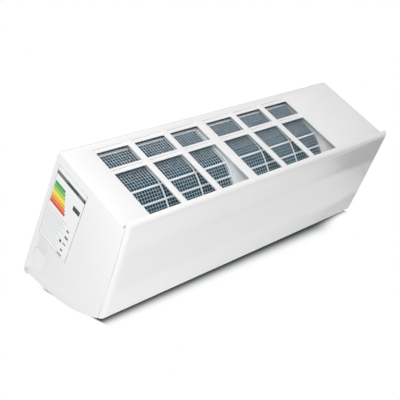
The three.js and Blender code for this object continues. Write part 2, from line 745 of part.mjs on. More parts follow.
// Where tubes leave a slab's end: two pairs of [depth, height], each joined by a return bend,
// above the room kept free at the slab's lower end.
function bendPairs(slab, foot) {
  const length = Math.hypot(slab.to[0] - slab.from[0], slab.to[1] - slab.from[1]);
  const top = length - bendMargin;
  const pitch = Math.min(tubePitch, (top - foot) / 2.5);
  return [top, top - 1.5 * pitch].map((s) => [slabPoint(slab, s), slabPoint(slab, s - pitch)]);
}

function coilEnd(side) {
  const x0 = side < 0 ? coilLeft - seat - endPlateThickness : coilRight + seat;
  const x1 = x0 + endPlateThickness;
  const { rear, upper, lower } = slabs;
  const plate = join(
    ...Object.values(slabs).map((slab) => acrossWidth(slabOutline(slab, endPlateRim), x0, x1)),
    block(x0, x1, rear.from[0], upper.from[0], coilTop - 14, coilTop - 2),
    block(x0, x1, upper.to[0], lower.from[0], lowerCoilTop - 4, lowerCoilTop + 12));
  const face = side < 0 ? x0 : x1;
  const pairs = [
    ...bendPairs(rear, pipeFoot.liquid + bendMargin),
    ...bendPairs(upper, bendMargin),
    ...bendPairs(lower, bendMargin),
  ];
  const section = outline(polygon(0, 0, tubeRadius, 6));
  const bends = pairs.map(([[d0, z0], [d1, z1]]) => {
    const start = new THREE.Vector3(face - side * 0.5, -d0, z0);
    const end = new THREE.Vector3(face - side * 0.5, -d1, z1);
    const path = new HalfTurn(start, end, new THREE.Vector3(side, 0, 0));
    return solid(new THREE.ExtrudeGeometry(section, { steps: 7, extrudePath: path, bevelEnabled: false }));
  });
  return join(plate, ...bends);
}

const pipeStart = coilRight + 2 * seat + endPlateThickness;
const pipeEnd = -40;
const pipeRoot = {
  suction: slabPoint(slabs.rear, pipeFoot.suction),
  liquid: slabPoint(slabs.rear, pipeFoot.liquid),
};

function suctionPipe() {
  const [depth, z] = pipeRoot.suction;
  const drop = ductRight + 10;
  return tubeThrough([
    [pipeStart, depth, z], [drop, depth, z], [drop, pipeDepth, z - 45], [drop, pipeDepth, suctionHeight],
    [pipeEnd, pipeDepth, suctionHeight],
  ], suctionRadius, 13, 6, 30);
}

function liquidPipe() {
  const [depth, z] = pipeRoot.liquid;
  const drop = ductRight + 20;
  return tubeThrough([
    [pipeStart, depth, z], [drop, depth, z], [drop, pipeDepth, z - 60], [drop, pipeDepth, liquidHeight],
    [pipeEnd + 20, pipeDepth, liquidHeight],
  ], liquidRadius, 10, 6, 30);
}

function flareNut(x0, x1, radius, bore, z) {
  const hexagon = polygon(pipeDepth, z, radius, 6);
  return acrossWidth(hexagon, x0, x1).subtract(barAcross(bore, x0 - 1, x1 + 1, pipeDepth, z, 12));
}

function pipeClamp() {
  const bar = block(88, 108, 19, channel.depth - seat, liquidHeight - 9, suctionHeight + 10);
  return cut(bar,
    barAcross(suctionRadius + seat, 80, 116, pipeDepth, suctionHeight, 12),
    barAcross(liquidRadius + seat, 80, 116, pipeDepth, liquidHeight, 12));
}

// A fan blade's section: a thin arc that leans with the turn.
function bladeSection(turn) {
  const stations = [0, 0.5, 1].map((t) => {
    const radius = fanRadius - 0.8 - bladeLength * (1 - t);
    const angle = turn + 14 * (1 - t) * (1 - t);
    return arc(fanDepth, fanHeight, radius, angle, angle, 1)[0];
  });
  return wallAlong(stations, bladeThickness);
}

function fanRotor() {
  const middle = (fanLeft + fanRight) / 2;
  const discs = [fanLeft, middle - discThickness / 2, fanRight - discThickness].map((x, i) => cut(
    barAcross(fanRadius, x, x + discThickness, fanDepth, fanHeight, 32),
    barAcross(i === 1 ? fanRadius - bladeLength - 4 : axleRadius + seat, x - 1, x + discThickness + 1,
      fanDepth, fanHeight, 16)));
  const blades = Array.from({ length: bladeCount }, (_, i) => acrossWidth(
    bladeSection((360 * i) / bladeCount), fanLeft + 1, fanRight - 1));
  return join(...discs, ...blades);
}

function bearingBush() {
  const x = ductLeft - shell;
  const inner = axleRadius + seat;
  return turned([
    [-5, inner], [-5, bearingRadius], [-seat, bearingRadius + 3], [-seat, bearingRadius],
    [shell + 3, bearingRadius], [shell + 3, inner], [-5, inner],
  ], x, fanDepth, fanHeight, 24);
}

function motorClamp() {
  const x0 = motorLeft + 14;
  const inner = motorRadius + seat;
  const ring = [
    ...arc(fanDepth, fanHeight, inner + 3, 0, 180, 12), ...arc(fanDepth, fanHeight, inner, 180, 0, 24),
  ];
  const feet = [-1, 1].map((side) => {
    const edges = [inner + 0.2, inner + 11].map((reach) => fanDepth + side * reach).sort((a, b) => a - b);
    return block(motorLeft + 2, motorLeft + motorLength - 2, edges[0], edges[1], ribTop + seat, ribTop + 4);
  });
  const legs = [-1, 1].map((side) => {
    const edges = [inner + 0.2, inner + 3].map((reach) => fanDepth + side * reach).sort((a, b) => a - b);
    return block(x0, x0 + 14, edges[0], edges[1], ribTop + 1, fanHeight + 1);
  });
  return join(acrossWidth(ring, x0, x0 + 14), ...legs, ...feet);
}

function electricalBox() {
  const { x0, x1, depth0, depth1, z0, z1 } = box;
  const open = block(x0 + boxWall, x1 - boxWall, depth0 + boxWall, depth1 + 1, z0 + boxWall, z1 - boxWall);
  const posts = [x0 + 10, x1 - 10].flatMap((x) => [z0 + 26, z1 - 16].map((z) => barDeep(
    3, depth0 + 1, boardDepth - seat, x, z, 8)));
  const shellBody = block(x0, x1, depth0, depth1, z0, z1).subtract(open);
  return cut(join(shellBody, ...posts), barUp(8.3, z0 - 1, z0 + boxWall + 1, grommet.x, grommet.depth, 16));
}

const boardDepth = box.depth0 + 12;
const grommet = { x: box.x0 + boxWidth / 2, depth: (box.depth0 + box.depth1) / 2 + 6 };

function cableGrommet() {
  const profile = [
    [-3.2, 5], [-3.2, 10.4], [-seat, 10.4], [-seat, 8], [boxWall + seat, 8], [boxWall + seat, 10.4],
    [boxWall + 3, 9.4], [boxWall + 3, 5], [-3.2, 5],
  ].map(([z, radius]) => new THREE.Vector2(radius, z));
  const geometry = new THREE.LatheGeometry(profile, 16).rotateX(Math.PI / 2);
  return solid(geometry.translate(grommet.x, -grommet.depth, box.z0));
}

function terminalBlock() {
  const { x0, z0, depth1 } = box;
  const body = block(x0 + 20, x0 + 64, depth1 - 22, depth1 - 3, z0 + boxWall + seat, z0 + 26);
  const ways = Array.from({ length: 4 }, (_, i) => block(
    x0 + 23 + i * 10.3, x0 + 30 + i * 10.3, depth1 - 16, depth1 - 2, z0 + 15, z0 + 27));
  return cut(body, ...ways);
}

function receiverModule() {
  const { x0, x1, z0, z1, gap, thickness } = display;
  const wall = [[casingFront(z0) - shell, z0], [casingFront(z1) - shell, z1]];
  const board = acrossWidth(wallAlong(offsetLine(wall, gap), thickness), x0, x1);
  const feet = [x0, x1 - 4].map((x) => acrossWidth(wallAlong(offsetLine(wall, seat), gap + 1), x, x + 4));
  const sensor = acrossWidth(wallAlong(offsetLine(wall, seat + 0.4), gap + 1), lens.x0 + 4, lens.x1 - 4);
  const window = block(lens.x0, lens.x1, footDepth - 55, footDepth + 5, lens.z0 + 3, lens.z1 - 3);
  return join(board, ...feet, sensor.intersect(window));
}

function receiverLens() {
  const wall = [[casingFront(lens.z0) - shell, lens.z0 + seat], [casingFront(lens.z1) - shell, lens.z1 - seat]];
  return acrossWidth(wallAlong(offsetLine(wall, -0.2), -shell + 0.5), lens.x0 + seat, lens.x1 - seat);
}

function testButton() {
  const outer = casingFront(button.z);
  return join(
    barDeep(button.radius, outer - shell - 2, outer + button.proud, button.x, button.z, 12),
    barDeep(button.flange, outer - shell - 1.9, outer - shell - 0.7, button.x, button.z, 16));
}

function casingScrew(x) {
  const outer = casingFront(screw.z);
  return join(
    barDeep(screw.head, outer + seat + 0.2, outer + seat + screw.headHeight, x, screw.z, 12),
    barDeep(screw.shank, outer - screw.length, outer + 1, x, screw.z, 8));
}

function louvreStepper() {
  const x0 = ductRight + shell + seat;
  const body = barAcross(stepperRadius, x0, x0 + stepperLength, louvrePivot[0] - 2, louvrePivot[1] + 8.5, 24);
  return body.subtract(barAcross(pinRadius + seat, x0 - 1, x0 + 5, louvrePivot[0], louvrePivot[1], 12));
}

function louvre() {
  const x0 = ductLeft + 1;
  const x1 = ductRight - 1;
  const plate = acrossWidth(wallAlong(
    undersideLine(duct.outletStart, duct.outletEnd - 1.2, 8), louvreThickness), x0, x1);
  const arms = [x0 + 2, x1 - 5].map((x) => {
    const line = undersideLine(duct.outletStart + 3, duct.outletStart + 26, 2);
    const [depth, z] = louvrePivot;
    return acrossWidth([
      ...offsetLine(line, louvreThickness - 0.6), [depth + 4, z + 3.4], [depth - 3, z + 3.4],
    ], x, x + 3);
  });
  return join(plate, ...arms,
    barAcross(pinRadius, x0 - shell - 2, x0 + 4, louvrePivot[0], louvrePivot[1], 12),
    barAcross(pinRadius, x1 - 4, x1 + shell + 5, louvrePivot[0], louvrePivot[1], 12));
}

const vanePitch = (ductRight - ductLeft - 2 * vaneEndGap) / (2 * vanesPerSide);
const vaneXs = Array.from(
  { length: 2 * vanesPerSide }, (_, i) => ductCentre + (i - vanesPerSide + 0.5) * vanePitch);
const vaneTop = duct.roof - 3.5;

// One upright vane: a thin plate with a pivot pin and a pin for the link bar.
function vane() {
  const plate = acrossWidth([
    [vanePivotDepth - 17, vaneTop], [vanePivotDepth - 17, vaneTop - 9.5], [vanePivotDepth - 6, vaneTop - 16.5],
    [vanePivotDepth + 6, vaneTop - 10.5], [vanePivotDepth + 16, vaneTop - 2.5], [vanePivotDepth + 16, vaneTop],
  ], -vaneThickness / 2, vaneThickness / 2);
  return join(plate,
    barUp(2, vaneTop - 3, duct.roof + 1.2, 0, vanePivotDepth, 8),
    barUp(1.5, vaneTop - 3, vaneTop + 2.9, 0, vanePivotDepth - vaneLever, 8));
}

// The bar that turns a group of vanes together; its slots leave room for the pins' arc.
function vaneLink(xs) {
  const pinDepth = vanePivotDepth - vaneLever;
  const bar = block(
    xs[0] - 8, xs[xs.length - 1] + 8, pinDepth - 4.5, pinDepth + 6.5, vaneTop + seat, vaneTop + 2.3);
  const slots = xs.map((x) => block(x - 2.2, x + 2.2, pinDepth - 1.9, pinDepth + 3.9, vaneTop, vaneTop + 4));
  return cut(bar, ...slots);
}

// A sheet that follows a side-view line, with a grid of open cells; gap(i, j) says which.
function latticeSheet(line, xs, thickness, gap) {
  const under = offsetLine(line, -thickness);
  const at = (row, column, low) => {
    const [depth, z] = (low ? under : line)[row];
    return [xs[column], -depth, z];
  };
  const isSolid = (i, j) => i >= 0 && j >= 0 && i < line.length - 1 && j < xs.length - 1 && !gap(i, j);
  const triangles = [];
  const quad = (a, b, c, d) => triangles.push(...a, ...b, ...c, ...a, ...c, ...d);
  for (let i = 0; i < line.length - 1; i += 1) {
    for (let j = 0; j < xs.length - 1; j += 1) {
      if (isSolid(i, j)) {
        quad(at(i, j), at(i + 1, j), at(i + 1, j + 1), at(i, j + 1));
        quad(at(i, j, true), at(i, j + 1, true), at(i + 1, j + 1, true), at(i + 1, j, true));
        if (!isSolid(i - 1, j)) quad(at(i, j), at(i, j + 1), at(i, j + 1, true), at(i, j, true));
        if (!isSolid(i + 1, j)) {
          quad(at(i + 1, j + 1), at(i + 1, j), at(i + 1, j, true), at(i + 1, j + 1, true));
        }
        if (!isSolid(i, j - 1)) quad(at(i + 1, j), at(i, j), at(i, j, true), at(i + 1, j, true));
        if (!isSolid(i, j + 1)) {
          quad(at(i, j + 1), at(i + 1, j + 1), at(i + 1, j + 1, true), at(i, j + 1, true));
        }
      }
    }
  }
  const geometry = new THREE.BufferGeometry();
  geometry.setAttribute('position', new THREE.Float32BufferAttribute(triangles, 3));
  return solid(geometry);
}

function airFilter(x0, x1) {
  const columnShares = columns.slice(1, columnsPerSide).map((_, i) => (i + 1) / columnsPerSide);
  const xs = ribStations(x0, x1, columnShares, 2);
  return latticeSheet(filterLine, xs, filterThickness, (i, j) => i % 2 === 1 && j % 2 === 1);
}

const finishes = {
  glossWhite: { color: 0xf4f5f4, roughness: 0.16, metalness: 0 },
  satinWhite: { color: 0xf1f2f1, roughness: 0.38, metalness: 0 },
  innerWhite: { color: 0xe6e8e8, roughness: 0.5, metalness: 0 },
  filterGrey: { color: 0xdfe6ea, roughness: 0.6, metalness: 0 },
  finBlue: { color: 0x7f98a6, roughness: 0.4, metalness: 0.6 },
  copper: { color: 0xb87448, roughness: 0.35, metalness: 1 },
  brass: { color: 0xc2a25a, roughness: 0.35, metalness: 1 },
  steel: { color: 0xb4b8ba, roughness: 0.4, metalness: 1 },
  darkPlastic: { color: 0x3a3d40, roughness: 0.5, metalness: 0 },
  rubber: { color: 0x26282a, roughness: 0.8, metalness: 0 },
  board: { color: 0x2f6b45, roughness: 0.5, metalness: 0 },
  paper: { color: 0xf3f3ef, roughness: 0.6, metalness: 0 },
  smoked: { color: 0x2b2f36, roughness: 0.1, metalness: 0 },
};

const unit = new THREE.Group();
unit.position.z = -plateCentreHeight;

// Hangs a solid in the unit as a named mesh.
function add(name, made, finish, x = 0) {
  const mesh = made.getMesh();
  const geometry = new THREE.BufferGeometry();
  geometry.setAttribute('position', new THREE.BufferAttribute(mesh.vertProperties, 3));
  geometry.setIndex(new THREE.BufferAttribute(mesh.triVerts, 1));
  geometry.computeVertexNormals();
  const item = new THREE.Mesh(geometry, new THREE.MeshStandardMaterial(finishes[finish]));
  item.name = name;
  item.position.x = x;
  unit.add(item);
}

add('wall_plate', wallPlate(), 'steel');
add('rear_chassis', rearChassis(), 'innerWhite');
add('front_casing', frontCasing(), 'satinWhite');
add('front_panel', frontPanel(), 'glossWhite');
add('drain_pan', drainPan(), 'innerWhite');
add('drain_spigot', drainSpigot(), 'innerWhite');
add('drain_plug', drainPlug(), 'rubber');

add('rear_coil', coilSlab(slabs.rear), 'finBlue');
add('upper_front_coil', coilSlab(slabs.upper), 'finBlue');
add('lower_front_coil', coilSlab(slabs.lower), 'finBlue');
add('coil_end_left', coilEnd(-1), 'copper');
add('coil_end_right', coilEnd(1), 'copper');
add('suction_pipe', suctionPipe(), 'copper');
add('liquid_pipe', liquidPipe(), 'copper');
add('suction_flare_nut', flareNut(
  pipeEnd - 12, pipeEnd + 10, 12.7, suctionRadius + seat, suctionHeight), 'brass');
add('liquid_flare_nut', flareNut(
  pipeEnd + 12, pipeEnd + 28, 9.8, liquidRadius + seat, liquidHeight), 'brass');
add('pipe_clamp', pipeClamp(), 'darkPlastic');

add('fan_rotor', fanRotor(), 'darkPlastic');
add('fan_axle', barAcross(axleRadius, ductLeft - 9, fanLeft + 12, fanDepth, fanHeight, 16), 'steel');
add('bearing_bush', bearingBush(), 'rubber');
add('motor_shaft', barAcross(axleRadius, fanRight - 14, motorLeft - seat, fanDepth, fanHeight, 16), 'steel');
add('fan_motor', barAcross(motorRadius, motorLeft, motorLeft + motorLength, fanDepth, fanHeight, 32), 'steel');
add('motor_clamp', motorClamp(), 'darkPlastic');

add('left_air_filter', airFilter(ductLeft + 2, centreBar - 3.5), 'filterGrey');
add('right_air_filter', airFilter(centreBar + 3.5, ductRight + 5), 'filterGrey');

add('louvre', louvre(), 'glossWhite');
add('louvre_motor', louvreStepper(), 'steel');
vaneXs.forEach((x, i) => add(`vane_${i + 1}`, vane(), 'innerWhite', x));
add('left_vane_link', vaneLink(vaneXs.slice(0, vanesPerSide)), 'innerWhite');
add('right_vane_link', vaneLink(vaneXs.slice(vanesPerSide)), 'innerWhite');

const boxRim = boxWall + 0.4;
add('electrical_box', electricalBox(), 'darkPlastic');
add('electrical_box_cover', block(
  box.x0, box.x1, box.depth1 + seat, box.depth1 + seat + boxWall, box.z0, box.z1), 'darkPlastic');
add('circuit_board', block(
  box.x0 + boxRim, box.x1 - boxRim, boardDepth, boardDepth + 1.6, box.z0 + 18, box.z1 - 10), 'board');
add('terminal_block', terminalBlock(), 'darkPlastic');
add('cable_grommet', cableGrommet(), 'rubber');
add('receiver_module', receiverModule(), 'darkPlastic');
add('receiver_lens', receiverLens(), 'smoked');
add('test_button', testButton(), 'innerWhite');
add('energy_label', block(
  left - 0.6, left - 0.2, label.setback, label.setback + label.width,
  bodyHeight - label.drop - label.height, bodyHeight - label.drop), 'paper');
add('pipe_knockout_left', acrossWidth(knockoutOutline(0.5), left, left + shell), 'satinWhite');
add('pipe_knockout_right', acrossWidth(knockoutOutline(0.5), right - shell, right), 'satinWhite');
['left', 'centre', 'right'].forEach((side, i) => add(`casing_screw_${side}`, casingScrew(screwXs[i]), 'steel'));

export default unit;
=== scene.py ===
import math

import bmesh
import bpy
from mathutils import Matrix, Vector


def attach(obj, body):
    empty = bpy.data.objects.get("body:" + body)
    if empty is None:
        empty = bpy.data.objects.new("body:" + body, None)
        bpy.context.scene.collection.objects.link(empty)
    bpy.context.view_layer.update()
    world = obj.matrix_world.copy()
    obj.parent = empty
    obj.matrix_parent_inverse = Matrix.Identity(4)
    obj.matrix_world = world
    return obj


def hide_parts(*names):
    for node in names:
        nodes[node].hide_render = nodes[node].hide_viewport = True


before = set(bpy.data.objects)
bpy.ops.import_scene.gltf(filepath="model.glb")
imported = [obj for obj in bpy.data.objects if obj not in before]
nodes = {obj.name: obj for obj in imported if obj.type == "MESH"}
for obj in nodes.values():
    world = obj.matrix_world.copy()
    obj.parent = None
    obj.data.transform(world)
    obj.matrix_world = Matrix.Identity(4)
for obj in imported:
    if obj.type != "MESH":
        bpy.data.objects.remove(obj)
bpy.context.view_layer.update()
scene = bpy.context.scene


# The camera: a long lens on a tripod at the unit's left end, looking down at its top and
# front. The camera is rolled, because the unit lay tipped forward on its rounded underside.
azimuth = math.radians(-58.22)
elevation = math.radians(39.08)
roll = math.radians(25.56)
view_target = Vector((0.0425, -0.0363, -0.0895))
view_distance = 1.652
focal_pixels = 806.6
photo_pixels = 400
view_back = Vector((
    math.sin(azimuth) * math.cos(elevation),
    -math.cos(azimuth) * math.cos(elevation),
    math.sin(elevation),
))
level_right = (-view_back).cross(Vector((0, 0, 1))).normalized()
level_up = level_right.cross(-view_back)
view_right = level_right * math.cos(roll) + level_up * math.sin(roll)
view_up = level_up * math.cos(roll) - level_right * math.sin(roll)
bpy.ops.object.camera_add()
camera = bpy.context.object
camera.name = "camera"
camera.matrix_world = (
    Matrix.Translation(view_target + view_back * view_distance)
    @ Matrix((view_right, view_up, view_back)).transposed().to_4x4()
)
camera.data.sensor_width = 36
camera.data.lens = camera.data.sensor_width * focal_pixels / photo_pixels
camera.data.clip_end = 20
camera.data.dof.use_dof = False
scene.camera = camera
scene.view_settings.view_transform = "Standard"


# The studio: a white paper floor with a soft contact shade, a white surround for the camera and
# for reflections, one large soft lamp up at the left, and weak lamps that stand in for the light
# that white paper throws back from below and from the left.
def linear(code):
    """A #rrggbb sRGB colour as linear RGBA."""
    parts = [int(code[i:i + 2], 16) / 255 for i in (1, 3, 5)]
    return (*(c / 12.92 if c <= 0.04045 else ((c + 0.055) / 1.055) ** 2.4 for c in parts), 1)


def add_node(tree, kind, inputs=None, **settings):
    """Adds a node; inputs gives a socket its value, or the socket that feeds it."""
    node = tree.nodes.new(kind)
    for name, value in settings.items():
        setattr(node, name, value)
    for name, value in (inputs or {}).items():
        if isinstance(value, bpy.types.NodeSocket):
            tree.links.new(value, node.inputs[name])
        else:
            node.inputs[name].default_value = value
    return node


def new_material(name):
    """An empty node material and its tree."""
    material = bpy.data.materials.new(name)
    material.use_nodes = True
    material.node_tree.nodes.clear()
    return material, material.node_tree


def background_ray(tree):
    """1 for rays that see the background: from the camera, and off gloss and glass."""
    path = add_node(tree, "ShaderNodeLightPath")
    seen = add_node(tree, "ShaderNodeMath", {0: path.outputs["Is Camera Ray"],
                    1: path.outputs["Is Glossy Ray"]}, operation="ADD")
    return add_node(tree, "ShaderNodeMath", {0: seen.outputs[0],
                    1: path.outputs["Is Transmission Ray"]}, operation="ADD", use_clamp=True)


world = bpy.data.worlds.new("studio")
world.use_nodes = True
world.node_tree.nodes.clear()
surround = add_node(world.node_tree, "ShaderNodeBackground", {
    "Color": linear("#ffffff"), "Strength": 1.0})
ambient = add_node(world.node_tree, "ShaderNodeBackground", {
    "Color": linear("#fbfbfb"), "Strength": 0.47})
seen_world = add_node(world.node_tree, "ShaderNodeMixShader", {
    0: background_ray(world.node_tree).outputs[0], 1: ambient.outputs[0], 2: surround.outputs[0]})
add_node(world.node_tree, "ShaderNodeOutputWorld", {"Surface": seen_world.outputs[0]})
scene.world = world

# The unit lay tipped forward on its rounded underside, so the studio's level is turned about
# the unit's length. The floor lies just under the lowest point in that attitude.
forward_tip = math.radians(28.3)
floor_gap = 0.0005
studio_turn = Matrix.Rotation(-forward_tip, 4, "X")
floor_up = studio_turn @ Vector((0, 0, 1))
corners = [vertex.co.copy() for node in nodes.values() for vertex in node.data.vertices]
resting_level = min(floor_up.dot(corner) for corner in corners)
bpy.ops.object.select_all(action="DESELECT")
bpy.ops.mesh.primitive_grid_add(size=14, x_subdivisions=4, y_subdivisions=4)
floor = bpy.context.object
floor.name = "floor"
floor.matrix_world = Matrix.Translation(floor_up * (resting_level - floor_gap)) @ studio_turn
# The lamps below the floor's level are the paper's own bounce, so the floor doesn't stop them.
floor.visible_diffuse = False
floor.visible_shadow = False

# The contact shade: the unit's own shadow on the paper, deepened by shade painted into the paper's
# colour for the camera's view. It is dark under the strip of the unit that lies near the floor,
# and white again a few centimetres in front of it. It starts inside the left end and thins out at
# the right.
near_height = 0.014
shade_shift = Vector((0.006, 0, 0))
shade_inset = Vector((0.003, 0.026, 0))
end_sharpness = (8, 1, 0)
shade_dark_to = 0.010
shade_white_from = 0.060
near_floor = [studio_turn.inverted() @ corner for corner in corners
              if floor_up.dot(corner) < resting_level + near_height]
rest_low = Vector([min(place[axis] for place in near_floor) for axis in (0, 1)] + [0])
rest_high = Vector([max(place[axis] for place in near_floor) for axis in (0, 1)] + [0])
shade_centre = (rest_low + rest_high) / 2 + shade_shift
shade_half = (rest_high - rest_low) / 2 - shade_inset
white_sweep, tree = new_material("white_paper_sweep")
place = add_node(tree, "ShaderNodeTexCoord")
across = add_node(tree, "ShaderNodeSeparateXYZ", {"Vector": place.outputs["Object"]})
from_rest = add_node(tree, "ShaderNodeVectorMath", {0: place.outputs["Object"], 1: shade_centre},
                     operation="SUBTRACT")
either_side = add_node(tree, "ShaderNodeVectorMath", {0: from_rest.outputs[0]},
                       operation="ABSOLUTE")
past_edge = add_node(tree, "ShaderNodeVectorMath", {0: either_side.outputs[0], 1: shade_half},
                     operation="SUBTRACT")
outside = add_node(tree, "ShaderNodeVectorMath", {0: past_edge.outputs[0], 1: (0, 0, 0)},
                   operation="MAXIMUM")
weighted = add_node(tree, "ShaderNodeVectorMath", {0: outside.outputs[0], 1: end_sharpness},
                    operation="MULTIPLY")
reach = add_node(tree, "ShaderNodeVectorMath", {0: weighted.outputs[0]}, operation="LENGTH")
widening = add_node(tree, "ShaderNodeMapRange", {
    "Value": across.outputs["X"], "From Min": -0.35, "From Max": 0.35,
    "To Min": 1.35, "To Max": 0.85})
right_taper = add_node(tree, "ShaderNodeMapRange", {
    "Value": across.outputs["X"], "From Min": 0.22, "From Max": 0.36,
    "To Min": 0.0, "To Max": 1.6}, interpolation_type="SMOOTHSTEP")
tapered = add_node(tree, "ShaderNodeMath", {0: widening.outputs[0], 1: right_taper.outputs[0]},
                   operation="ADD")
scaled_reach = add_node(tree, "ShaderNodeMath", {0: reach.outputs["Value"], 1: tapered.outputs[0]},
                        operation="MULTIPLY")
away = add_node(tree, "ShaderNodeMapRange", {
    "Value": scaled_reach.outputs[0], "From Min": shade_dark_to, "From Max": shade_white_from},
    interpolation_type="SMOOTHSTEP")
white_share = add_node(tree, "ShaderNodeMath", {
    0: away.outputs[0], 1: background_ray(tree).outputs[0]}, operation="MULTIPLY")
seen = add_node(tree, "ShaderNodeLightPath")
unseen = add_node(tree, "ShaderNodeMath", {0: 1.0, 1: seen.outputs["Is Camera Ray"]},
                  operation="SUBTRACT")
lit = add_node(tree, "ShaderNodeMath", {0: away.outputs[0], 1: unseen.outputs[0]},
               operation="MAXIMUM")

# Painted reflection for the panel's right end: right of the unit's right end, and in front of it
# past a rounded corner, the paper is painted grey for every ray but the camera's. The gloss panel
# mirrors that grey, which darkens the panel towards its right end. The camera's own view of the
# paper stays white.
corner_centre = (0.29, -0.18, 0)
corner_scale = (1 / 0.18, -1 / 0.092, 0)
right_side = add_node(tree, "ShaderNodeMapRange", {
    "Value": across.outputs["X"], "From Min": 0.3, "From Max": 0.6},
    interpolation_type="SMOOTHSTEP")
from_corner = add_node(tree, "ShaderNodeVectorMath", {
    0: place.outputs["Object"], 1: corner_centre}, operation="SUBTRACT")
corner_shares = add_node(tree, "ShaderNodeVectorMath", {
    0: from_corner.outputs[0], 1: corner_scale}, operation="MULTIPLY")
past_corner = add_node(tree, "ShaderNodeVectorMath", {
    0: corner_shares.outputs[0], 1: (0, 0, 0)}, operation="MAXIMUM")
corner_reach = add_node(tree, "ShaderNodeVectorMath", {0: past_corner.outputs[0]},
                        operation="LENGTH")
dim_corner_edge = add_node(tree, "ShaderNodeMapRange", {
    "Value": corner_reach.outputs["Value"], "From Min": 0.97, "From Max": 1.12},
    interpolation_type="SMOOTHSTEP")
rightwards = add_node(tree, "ShaderNodeMapRange", {
    "Value": across.outputs["X"], "From Min": 0.15, "From Max": 0.5},
    interpolation_type="SMOOTHSTEP")
dim_past_corner = add_node(tree, "ShaderNodeMath", {
    0: dim_corner_edge.outputs[0], 1: rightwards.outputs[0]}, operation="MULTIPLY")
dim_region = add_node(tree, "ShaderNodeMath", {
    0: right_side.outputs[0], 1: dim_past_corner.outputs[0]}, operation="MAXIMUM")
painted_dim_share = add_node(tree, "ShaderNodeMath", {0: dim_region.outputs[0], 1: unseen.outputs[0]},
                operation="MULTIPLY")


def between(factor, first, second):
    """A mix of two colours, each given as a code or as a socket."""
    mix = add_node(tree, "ShaderNodeMix", {"Factor": factor}, data_type="RGBA")
    for number, colour in ((6, first), (7, second)):
        if isinstance(colour, str):
            mix.inputs[number].default_value = linear(colour)
        else:
            tree.links.new(colour, mix.inputs[number])
    return mix.outputs[2]


# Painted contact shadow: the camera sees the paper #4a5254 under the unit and #f7f7f7 away from it.
shaded_paper = between(lit.outputs[0], "#4a5254", "#f7f7f7")
# Painted reflection for the panel's right end: for every ray but the camera's, the paper turns
# #7c7e7e and its glow #8c8e8e in the grey region above.
paper = add_node(tree, "ShaderNodeBsdfDiffuse", {
    "Color": between(painted_dim_share.outputs[0], shaded_paper, "#7c7e7e")})
glow = add_node(tree, "ShaderNodeEmission", {
    "Color": between(painted_dim_share.outputs[0], "#ffffff", "#8c8e8e"), "Strength": 1.0})
sweep = add_node(tree, "ShaderNodeMixShader", {
    0: white_share.outputs[0], 1: paper.outputs[0], 2: glow.outputs[0]})
clear = add_node(tree, "ShaderNodeBsdfTransparent")
from_below = add_node(tree, "ShaderNodeNewGeometry")
one_sided = add_node(tree, "ShaderNodeMixShader", {
    0: from_below.outputs["Backfacing"], 1: sweep.outputs[0], 2: clear.outputs[0]})
add_node(tree, "ShaderNodeOutputMaterial", {"Surface": one_sided.outputs[0]})
floor.data.materials.append(white_sweep)

# Each lamp: its name, its place and aim in the studio's turned frame, its width and its watts.
lamps = [
    ("key_softbox", (-1.2, -0.9, 1.55), (-0.1, -0.1, 0), 1.3, 29),
    ("floor_bounce", (0, -0.1, -1.4), (0, -0.1, 0), 1.4, 9),
    ("left_bounce", (-0.7, -1.1, -0.5), (-0.2, -0.1, 0), 1.3, 2.5),
    ("left_fill", (-1.1, -0.4, -0.7), (-0.3, -0.1, 0), 1.0, 3),
]
for lamp_name, place, aim, width, watts in lamps:
    bpy.ops.object.light_add(type="AREA")
    lamp = bpy.context.object
    lamp.name = lamp_name
    lamp.data.size = width
    lamp.data.energy = watts
    towards = (Vector(aim) - Vector(place)).to_track_quat("-Z", "Y").to_matrix().to_4x4()
    lamp.matrix_world = studio_turn @ Matrix.Translation(place) @ towards


# The wall plate: a pressed sheet of galvanised steel with two hooks for the chassis and a
# folded foot. The zinc's spangle shows as faint cool patches.
def surface(name, colour, tint, roughness, patch_mm, grain_mm, relief_mm,
            metallic=0.0, ior=1.5, spread=0.05):
    """A moulded or rolled surface: soft patches of tint, and a fine grain in its relief."""
    material, tree = new_material(name)
    place = add_node(tree, "ShaderNodeTexCoord")
    patches = add_node(tree, "ShaderNodeTexNoise", {"Vector": place.outputs["Object"],
                       "Scale": 1000 / patch_mm, "Detail": 3.0})
    colours = add_node(tree, "ShaderNodeMix", {"Factor": patches.outputs["Fac"]}, data_type="RGBA")
    colours.inputs[6].default_value = linear(colour)
    colours.inputs[7].default_value = linear(tint)
    gloss = add_node(tree, "ShaderNodeMapRange", {"Value": patches.outputs["Fac"],
                     "To Min": roughness - spread / 2, "To Max": roughness + spread / 2})
    grain = add_node(tree, "ShaderNodeTexNoise", {"Vector": place.outputs["Object"],
                     "Scale": 1000 / grain_mm, "Detail": 2.0})
    relief = add_node(tree, "ShaderNodeBump", {"Height": grain.outputs["Fac"],
                      "Distance": relief_mm / 1000, "Strength": 0.6})
    skin = add_node(tree, "ShaderNodeBsdfPrincipled", {
        "Base Color": colours.outputs[2], "Roughness": gloss.outputs[0],
        "Normal": relief.outputs[0]})
    skin.inputs["Metallic"].default_value = metallic
    skin.inputs["IOR"].default_value = ior
    add_node(tree, "ShaderNodeOutputMaterial", {"Surface": skin.outputs[0]})
    return material


def finish_nodes(material, *names):
    """Gives CAD nodes their material."""
    for name in names:
        nodes[name].data.materials.clear()
        nodes[name].data.materials.append(material)


galvanised_steel = surface("galvanised_steel", "#b9bec1", "#a7adb1", 0.42, 9, 1.5, 0.02,
                           metallic=1.0)
finish_nodes(galvanised_steel, "wall_plate")


# The rear chassis: one large injection moulding that carries everything and forms the fan's
# scroll. Off-white ABS with a fine spark-eroded grain.
def only(obj):
    """Makes one object the selected and active one."""
    bpy.ops.object.select_all(action="DESELECT")
    obj.select_set(True)
    bpy.context.view_layer.objects.active = obj


